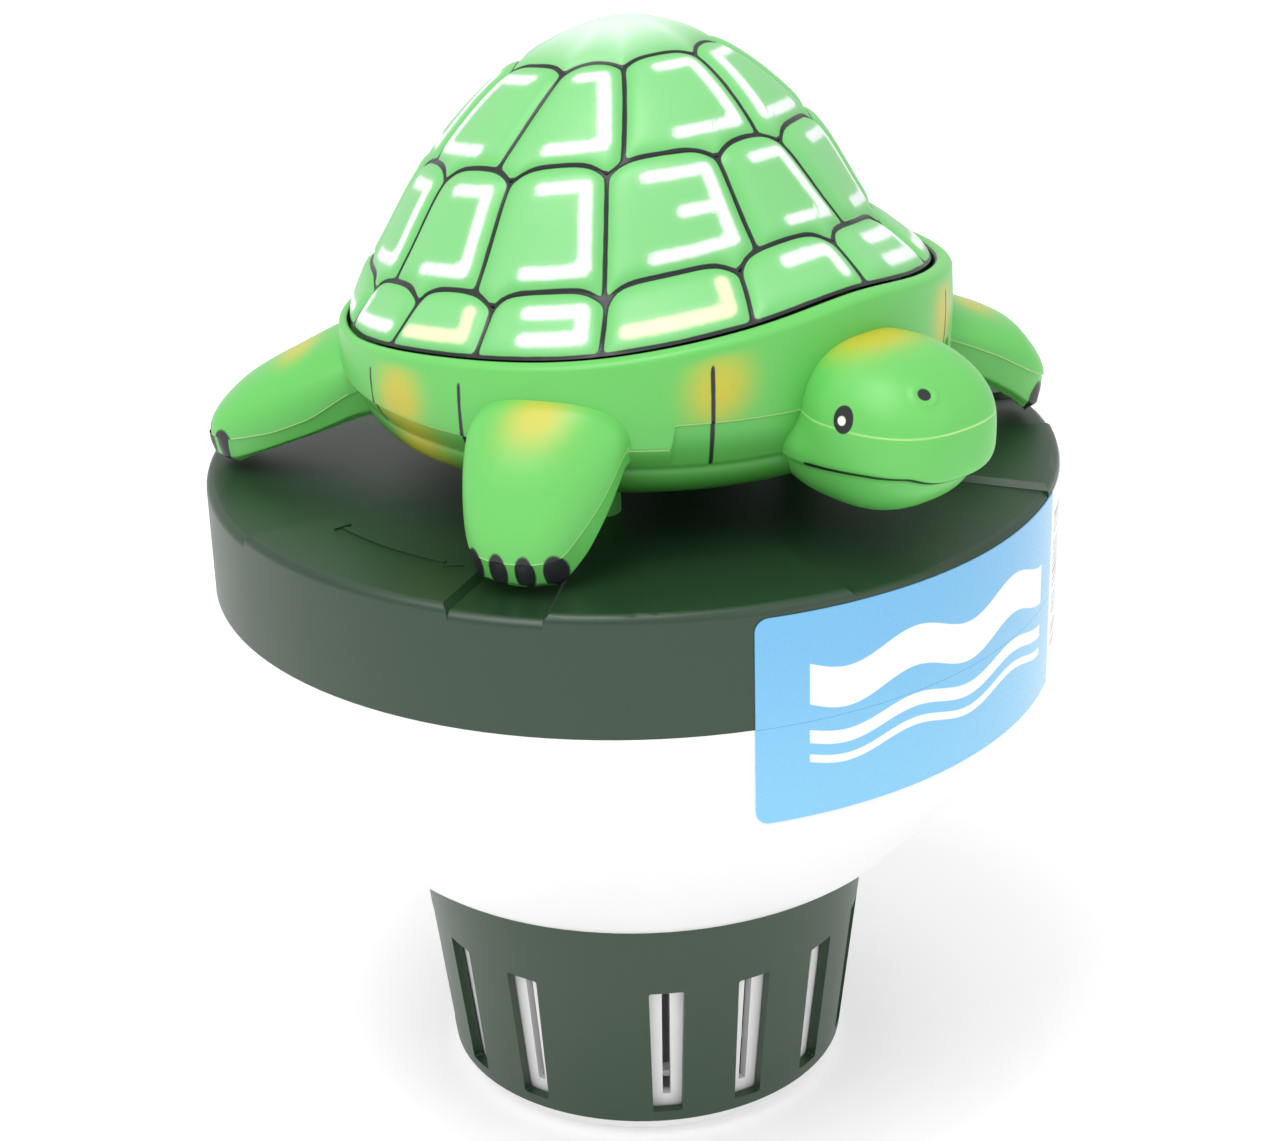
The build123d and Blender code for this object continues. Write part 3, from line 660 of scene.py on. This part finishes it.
# Each leg: the reach of its tip and of the place where the toes begin to round off, its width,
# the share it narrows by, how far it bends aside, the heights of its crown, seam and underside
# as (reach, height) pairs, how far its toes lean in, and the reach of its yellow spot
FRONT_LEG = {
    "tip": 86.3,
    "square": 72.0,
    "width": 34.0,
    "narrowing": 0.22,
    "bend": 3.2,
    "top": ((56, 199), (66, 197), (71, 195), (76, 190.5), (81, 185), (87, 176)),
    "seam": ((56, 187.5), (66, 186.7), (70, 185.5), (77, 175.5), (83, 167.6), (87, 166.5)),
    "under": ((56, 182), (68, 181), (72, 175), (78, 165), (82, 160.4), (87, LEG_FOOT_Z)),
    "lean": 1.8,
    "spot": 72.5,
}
LEFT_FRONT_LEG = {
    "tip": 95.0,
    "square": 80.0,
    "width": 33.0,
    "narrowing": 0.22,
    "bend": 0.0,
    "top": ((56, 196), (66, 191), (74, 187.8), (81, 185.3), (88, 181.8), (96, 174)),
    "seam": ((56, 187), (66, 184.5), (72, 182), (80, 178), (88, 173), (96, 168)),
    "under": ((56, 181), (66, 177), (75, 172.5), (84, 166.5), (91, 161.5), (96, LEG_FOOT_Z)),
    "lean": 1.0,
    "spot": 78.0,
}
REAR_LEG = {
    "tip": 100.5,
    "square": 76.0,
    "width": 33.0,
    "narrowing": 0.2,
    "bend": 0.0,
    "top": ((56, 196), (66, 191), (72, 188.5), (81, 184), (93, 178.5), (101, 174)),
    "seam": ((56, 182), (66, 179.8), (75, 173.8), (84, 170), (95, 166.8), (101, 166.2)),
    "under": ((56, 175), (64, 173.5), (82, 166.5), (95, 160.6), (101, LEG_FOOT_Z)),
    "lean": 0.4,
    "spot": 79.0,
}
LEGS = [(-58.5, FRONT_LEG), (62.0, LEFT_FRONT_LEG), (-133, REAR_LEG), (133, REAR_LEG)]
CLAW_PLACES = (-8.6, -2.9, 2.8, 8.5)
CLAW_HALF_WIDTH = 2.1
CLAW_HALF_HEIGHT = 4.4
CLAW_Z = 164.3
CLAW_EDGE = 1.6  # how sharply the claws' paint ends
CLAW_TOPS = (174.0, 170.0)  # the claws fade in between these heights
CLAW_SWELL = 0.9
TOE_LENGTH = 12.0


def along_leg(angle, along, across, height):
    """Leg coordinates to the CAD frame."""
    turn = math.radians(angle - 90)
    x = SHELL_CENTRE[0] + along * math.cos(turn) - across * math.sin(turn)
    y = SHELL_CENTRE[1] + along * math.sin(turn) + across * math.cos(turn)
    return np.stack(np.broadcast_arrays(x, y, height), axis=-1)


def table_curve(table, reach):
    """Smooth height along a leg from (reach, height) pairs."""
    table = np.array(table, float)
    fine = np.linspace(table[0, 0], table[-1, 0], 200)
    heights = np.interp(fine, table[:, 0], table[:, 1])
    margin = 12
    window = np.hanning(2 * margin + 1)
    padded = np.pad(heights, margin, mode="reflect", reflect_type="odd")
    heights = np.convolve(padded, window / window.sum(), mode="valid")
    return np.interp(reach, fine, heights)


def leg(upper, lower, angle, shape):
    """One leg: its rounded top goes to the upper shell and its sides to the lower shell."""
    rows, columns = 68, 60
    ease = np.sin(np.linspace(0, math.pi / 2, rows))
    reach = LEG_ROOT + (shape["tip"] - LEG_ROOT) * ease
    past = np.clip((reach - shape["square"]) / (shape["tip"] - shape["square"]), 0, 1)
    half = shape["width"] / 2 * (1 - past**2.6) ** (1 / 2.4)
    half = half * (1 - shape["narrowing"] * smoothstep(NARROWING_START, shape["tip"] - 3, reach))
    aside = math.copysign(shape["bend"], angle) * smoothstep(BEND_START, shape["tip"], reach)
    seam = table_curve(shape["seam"], reach)
    top = table_curve(shape["top"], reach)
    dome = (top - seam) * (1 - past**3.4) ** (1 / 2.3)

    # Rounded top
    swing = np.linspace(0, math.pi, columns)
    across = -half[:, None] * np.sign(np.cos(swing)) * np.abs(np.cos(swing)) ** 0.8
    height = seam[:, None] + dome[:, None] * np.sin(swing) ** 0.86
    along = np.broadcast_to(reach[:, None], across.shape)
    claws = claw_field(across, height, smoothstep(*CLAW_TOPS, height))
    upper.grid(
        along_leg(angle, along, across + aside[:, None], height),
        yellow=0.9 * np.exp(-(((along - shape["spot"]) / 6) ** 2) - ((across / 8) ** 2)),
        flash=height - seam[:, None] + FAR * (along < LEG_ROOT_END),
        black=(claws - 1) * CLAW_EDGE,
    )

    # Sides below the seam, from one side round the toes to the other, then the underside
    edge = np.concatenate([np.arange(rows), np.arange(rows)[::-1][1:]])
    sign = np.concatenate([-np.ones(rows), np.ones(rows - 1)])
    edge_reach = reach[edge]
    edge_seam = seam[edge]
    edge_under = np.minimum(table_curve(shape["under"], edge_reach), edge_seam - 3)
    drop = np.linspace(0, 1, 24)[:, None]
    height = edge_seam - (edge_seam - edge_under) * drop
    tuck = 0.35 + 0.6 * drop + 1.4 * smoothstep(0.75, 1.0, drop)
    toe = smoothstep(shape["tip"] - TOE_LENGTH, shape["tip"], edge_reach)
    across = sign * np.maximum(half[edge] - tuck, 0)
    claws = claw_field(across, height, toe)
    along = edge_reach - (tuck + shape["lean"] * drop) * toe
    along = along + CLAW_SWELL * np.clip(1.15 - claws, 0, 1) ** 0.6
    sides = along_leg(angle, along, across + aside[edge], height)
    inset = np.linspace(1, 0, 8)[1:, None]
    under = along_leg(angle, along[-1], across[-1] * inset + aside[edge], edge_under)
    plain = np.full(under.shape[:2], FAR)
    lower.grid(
        np.concatenate([sides, under]),
        flip=True,
        black=np.concatenate([(claws - 1) * CLAW_EDGE, plain]),
        flash=np.concatenate([drop * 12 + FAR * (edge_reach < LEG_ROOT_END), plain]),
    )

    # Screw boss between the belly and the lid, in line with the leg
    turn = np.linspace(0, 2 * math.pi, 32, endpoint=False)
    along = BOSS_REACH + BOSS_RADIUS * np.cos(turn)
    across = BOSS_RADIUS * np.sin(turn)
    levels = np.array(BOSS_LEVELS)[:, None]
    lower.grid(along_leg(angle, along, across, levels), closed=True)


def claw_field(across, height, toe):
    """Below one inside a painted claw, at the toes only."""
    fields = [
        np.hypot((across - place) / CLAW_HALF_WIDTH, (height - CLAW_Z) / CLAW_HALF_HEIGHT)
        for place in CLAW_PLACES
    ]
    return np.where(toe > 0.5, np.min(fields, axis=0), FAR)


# ------------------------------------------------------------------ head
HEAD_FORWARD = 73.0
HEAD_Z = 186.3
HEAD_HALF = (24.9, 19.2, 17.8)  # half its length, width and height
HEAD_SEAM_Z = 190.6
SQUASH = 2.6  # 2 would be a plain ellipsoid, more is boxier
JAW_SETBACK = 3.4
JAW_NARROWING = 0.08
NECK_NARROWING = 0.2
SNOUT_DROP = 1.4
MOUTH_DEPTH = 0.7


def head_point(swing, lift):
    """Point on the head from a direction round it and an angle above its middle."""
    forward = np.cos(lift) * np.cos(swing)
    side = np.cos(lift) * np.sin(swing)
    rise = np.sin(lift)
    size = sum(np.abs(part) ** SQUASH for part in (forward, side, rise)) ** (1 / SQUASH)
    forward, side, rise = forward / size, side / size, rise / size
    z = HEAD_Z + rise * HEAD_HALF[2]
    along = forward * HEAD_HALF[0]
    across = side * HEAD_HALF[1]

    # The lower jaw draws back under the snout
    mouth = mouth_height(along)
    jaw = smoothstep(0.4, -1.6, z - mouth)
    along = along - jaw * JAW_SETBACK * smoothstep(-5, 18, along)
    across = across * (1 - JAW_NARROWING * jaw)

    # The head narrows towards the neck, and the snout slopes down
    neck = smoothstep(2, -12, along) * smoothstep(182, 191, z)
    across = across * (1 - NECK_NARROWING * neck)
    z = z - SNOUT_DROP * smoothstep(0, 24, along) * smoothstep(2, 14, z - HEAD_Z)

    # The mouth is a groove
    line = MOUTH_DEPTH * np.exp(-(((z - mouth) / 0.7) ** 2)) * smoothstep(-4.5, 0, along)
    along = along - line * forward
    across = across - line * side
    return along, across, z, mouth


def mouth_height(along):
    """Height of the mouth line at a distance along the head."""
    return 180.3 + 1.1 * smoothstep(-4, 14, along) - 2.2 * smoothstep(20.5, 25, along)


def place_on_head(along, across, height):
    """Head coordinates to the CAD frame: the head looks along -Y."""
    x = SHELL_CENTRE[0] + across
    y = SHELL_CENTRE[1] - HEAD_FORWARD - along
    return np.stack(np.broadcast_arrays(x, y, height), axis=-1)


# Places on the head: along it, across it, and height
EYES = [(7.5, side * 18.5, 192.8) for side in (-1, 1)]
EYE_RADIUS = 2.95
EYE_STRETCH = (0.82, 1.3, 1.0)
GLINTS = [(along - 0.3, across, height - 0.3) for along, across, height in EYES]
GLINT_RADIUS = 1.0
GLINT_STRETCH = (1.0, 2.0, 1.0)
NOSTRIL = (19.4, -7.0, 198.7)
NOSTRIL_RADIUS = 1.65
RING_RADIUS = 2.6  # raised ring round the nostril
RING_WIDTH = 0.6
RING_HEIGHT = 0.3
MOUTH_HALF_WIDTH = 0.52


def spot_distance(places, spot, stretch=(1.0, 1.0, 1.0)):
    """Distance from a painted spot on the head, stretched along each axis."""
    squares = [((place - centre) / size) ** 2 for place, centre, size in zip(places, spot, stretch)]
    return np.sqrt(sum(squares))


def head(upper, lower):
    """Head, parted at the seam between the two shells."""
    swing = np.radians(np.linspace(-180, 180, 260, endpoint=False))
    fold = math.asin((HEAD_SEAM_Z - HEAD_Z) / HEAD_HALF[2])
    crown_lift = np.linspace(fold, math.pi / 2, 80)
    jaw_lift = np.linspace(-math.pi / 2, fold, 90)
    for skin, lift in ((upper, crown_lift), (lower, jaw_lift)):
        along, across, z, mouth = head_point(*np.meshgrid(swing, lift))
        places = (along, across, z)
        nostril = spot_distance(places, NOSTRIL)
        lip = np.maximum(np.abs(z - mouth) - MOUTH_HALF_WIDTH, (-3.5 - along) * 0.5)
        black = np.minimum(nostril - NOSTRIL_RADIUS, lip)
        glint = FAR
        for eye, spark in zip(EYES, GLINTS):
            black = np.minimum(black, spot_distance(places, eye, EYE_STRETCH) - EYE_RADIUS)
            glint = np.minimum(glint, spot_distance(places, spark, GLINT_STRETCH) - GLINT_RADIUS)
        yellow = np.exp(-(((along + 2) / 9) ** 2) - ((across / 13) ** 2)) * smoothstep(196, 203, z)
        yellow = yellow + 0.45 * smoothstep(-6, -18, along) * smoothstep(10, 16, np.abs(across))
        ring = RING_HEIGHT * np.exp(-(((nostril - RING_RADIUS) / RING_WIDTH) ** 2))
        skin.grid(
            place_on_head(along + ring, across, z + ring),
            closed=True,
            black=np.minimum(black, FAR),
            glint=glint,
            yellow=yellow,
            flash=np.abs(z - HEAD_SEAM_Z) + FAR * (along < -9),
        )


# Values that the turtle's material reads: distances to painted edges, then shares of colours
TURTLE_DEFAULTS = {
    "groove": FAR,
    "mark": FAR,
    "black": FAR,
    "glint": FAR,
    "flash": FAR,
    "tint": 0.0,
    "pale": 0.0,
    "cap": 0.0,
    "yellow": 0.0,
    "deep": 0.0,
}
upper_skin = Skin(**TURTLE_DEFAULTS)
lower_skin = Skin(**TURTLE_DEFAULTS)
plate_ring(upper_skin, LOWER_GROOVES, rim_line, low_line, LOWER_MARKS, tints=(1, 3))
plate_ring(upper_skin, MIDDLE_GROOVES, low_line, high_line, MIDDLE_MARKS)
plate_ring(upper_skin, UPPER_GROOVES, high_line, cap_line, UPPER_MARKS)
carapace_cap(upper_skin)
rim_band(upper_skin)
belly(lower_skin)
for leg_angle, leg_shape in LEGS:
    leg(upper_skin, lower_skin, leg_angle, leg_shape)
head(upper_skin, lower_skin)
upper_skin.build("turtle_top", turtle_green, "lid", "turtle_upper_shell")
lower_skin.build("turtle_underside", turtle_green, "lid", "turtle_lower_shell")


# ------------------------------------------------------------------ label
WAVES = ((141.0, 2.2, 4.6), (129.0, 1.6, 1.5), (124.0, 1.6, 0.9))  # middle, swell, half width
WAVES_PER_TURN = 18
WAVES_START = -110.2  # degrees round the lid
WAVES_END = -65.0
PANEL_START = -60.2
BARS_LEFT = -58.2
BARS_RIGHT = -47.8
BARS_FOOT = 115.0
BARS_HEAD = 151.3


def label_material():
    """Printed film: sky-blue field with plain waves, then a white panel with bars."""
    n = Nodes("label_film")
    x, y, z = n.xyz(n.position())
    angle = n.math("MULTIPLY", n.math("ARCTAN2", y, x), 180 / math.pi)
    height = n.math("MULTIPLY", z, 1 / MM)
    fibre = n.noise(900, 3)
    # The blue darkens towards the top: painted shade towards the bend over the lid's edge
    colour = n.mix(n.ramp(height, 110, 158), (0.210, 0.550, 0.830), (0.150, 0.460, 0.770))
    colour = n.mix(n.math("MULTIPLY", fibre, 0.08), colour, (0.40, 0.72, 0.92))

    wave = n.math("SINE", n.math("MULTIPLY", angle, math.radians(WAVES_PER_TURN)))
    after_start = n.ramp(angle, WAVES_START, WAVES_START + 0.3)
    inside = n.math("MULTIPLY", after_start, n.ramp(angle, WAVES_END, WAVES_END - 0.3))
    for middle, swell, half in WAVES:
        crest = n.math("ADD", middle, n.math("MULTIPLY", wave, swell))
        gap = n.math("ABSOLUTE", n.math("SUBTRACT", height, crest))
        band = n.ramp(gap, half + 0.15, half - 0.15)
        colour = n.mix(n.math("MULTIPLY", band, inside), colour, (0.93, 0.94, 0.95))

    # Level bars of random heights, cut off at the edges of their own field
    levels = n.tree.nodes.new("ShaderNodeCombineXYZ")
    n.put(n.math("MULTIPLY", height, 1.35), levels.inputs[2])
    bars = n.math("GREATER_THAN", n.noise(1.0, 0, 0.5, levels.outputs[0]), 0.5)
    field = (
        n.ramp(angle, BARS_LEFT, BARS_LEFT + 0.2),
        n.ramp(angle, BARS_RIGHT, BARS_RIGHT - 0.2),
        n.ramp(height, BARS_FOOT, BARS_FOOT + 0.3),
        n.ramp(height, BARS_HEAD, BARS_HEAD - 0.3),
    )
    for edge in field:
        bars = n.math("MULTIPLY", bars, edge)
    panel = n.mix(bars, (0.88, 0.88, 0.87), (0.10, 0.10, 0.10))
    colour = n.mix(n.ramp(angle, PANEL_START, PANEL_START + 0.3), colour, panel)
    n.set("Base Color", colour)
    n.set("Roughness", n.ramp(fibre, 0.2, 0.8, 0.22, 0.3))
    n.set("Coat Weight", 0.3)
    n.bump(fibre, 0.00004, 0.3)
    return n.material


label_film = label_material()

# ------------------------------------------------------------------ CAD pieces keep their shape
FINISHES = {
    "float_bowl": white_plastic,
    "tablet_tube": white_plastic,
    "base_cap": white_plastic,
    "flow_ring": dark_green,
    "lid": dark_green,
    "lid_seal": rubber,
    "screw_washers": rubber,
    "turtle_screws": brushed_steel(),
    "label_upper": label_film,
    "label_lower": label_film,
}
for node_name, finish in FINISHES.items():
    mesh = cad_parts[node_name].data
    mesh.materials.clear()
    mesh.materials.append(finish)


# ------------------------------------------------------------------ floor, light and camera
FLOOR_HALF = 6000.0
FLOOR_GAP = 0.15
FLOOR_COLOUR = (0.93, 0.93, 0.93)


def floor_paper():
    """Even pale paper with a faint glow of its own."""
    n = Nodes("floor_paper")
    darker = tuple(0.98 * part for part in FLOOR_COLOUR)
    n.set("Base Color", n.mix(n.noise(3, 4), FLOOR_COLOUR, darker))
    n.set("Roughness", 0.9)
    n.set("Emission Color", (1.0, 1.0, 1.0))
    n.set("Emission Strength", 0.18)
    return n.material


floor_corners = np.array([(-1, -1, 0), (1, -1, 0), (1, 1, 0), (-1, 1, 0)]) * FLOOR_HALF
floor_corners[:, 2] -= FLOOR_GAP
floor = new_object("floor", floor_corners, np.array([(0, 1, 2, 3)]), floor_paper())

world = bpy.data.worlds.new("studio")
bpy.context.scene.world = world
world.use_nodes = True
background = world.node_tree.nodes["Background"]
background.inputs["Color"].default_value = (1, 1, 1, 1)
background.inputs["Strength"].default_value = 0.8


def towards(azimuth, elevation):
    """Direction from the object to a viewpoint, which looks along +Y at azimuth 0."""
    turn, rise = math.radians(azimuth), math.radians(elevation)
    level = math.cos(rise)
    return Vector((math.sin(turn) * level, -math.cos(turn) * level, math.sin(rise)))


# Azimuth and elevation in degrees, distance and size in millimetres, power in watts
LIGHTS = [
    ("key", -85, 55, 1300, 800, 5.5),
    ("fill", 10, 35, 1400, 1000, 2),
    ("top", -75, 78, 1200, 420, 3),
]
LIT_HEIGHT = 130.0  # height on the axis that the lights point at
for name, azimuth, elevation, distance, size, power in LIGHTS:
    lamp = bpy.data.lights.new(name, "AREA")
    lamp.energy = power
    lamp.size = size * MM
    outwards = towards(azimuth, elevation)
    light = bpy.data.objects.new(name, lamp)
    light.location = (Vector((0, 0, LIT_HEIGHT)) + outwards * distance) * MM
    light.rotation_mode = "QUATERNION"
    light.rotation_quaternion = (-outwards).to_track_quat("-Z", "Y")
    bpy.context.scene.collection.objects.link(light)

CAMERA_AZIMUTH = -41.0
CAMERA_ELEVATION = 23.85
CAMERA_ROLL = -1.55
CAMERA_DISTANCE = 650.7
CAMERA_TARGET = (1.4, 126.8)  # to the right of the axis, and height
CAMERA_LENS = 77.2

back = towards(CAMERA_AZIMUTH, CAMERA_ELEVATION)
right = Vector((-back.y, back.x, 0)).normalized()
up = back.cross(right)
roll = math.radians(CAMERA_ROLL)
rolled_right = right * math.cos(roll) + up * math.sin(roll)
rolled_up = up * math.cos(roll) - right * math.sin(roll)
target = right * CAMERA_TARGET[0] + Vector((0, 0, CAMERA_TARGET[1]))
camera_data = bpy.data.cameras.new("camera")
camera_data.lens = CAMERA_LENS
camera_data.sensor_width = 36.0
camera_data.clip_start = 0.01
camera = bpy.data.objects.new("camera", camera_data)
axes = Matrix((rolled_right, rolled_up, back)).transposed()
camera.matrix_world = Matrix.Translation((target + back * CAMERA_DISTANCE) * MM) @ axes.to_4x4()
bpy.context.scene.collection.objects.link(camera)
bpy.context.scene.camera = camera

scene = bpy.context.scene
scene.view_settings.view_transform = "Standard"
scene.view_settings.look = "None"
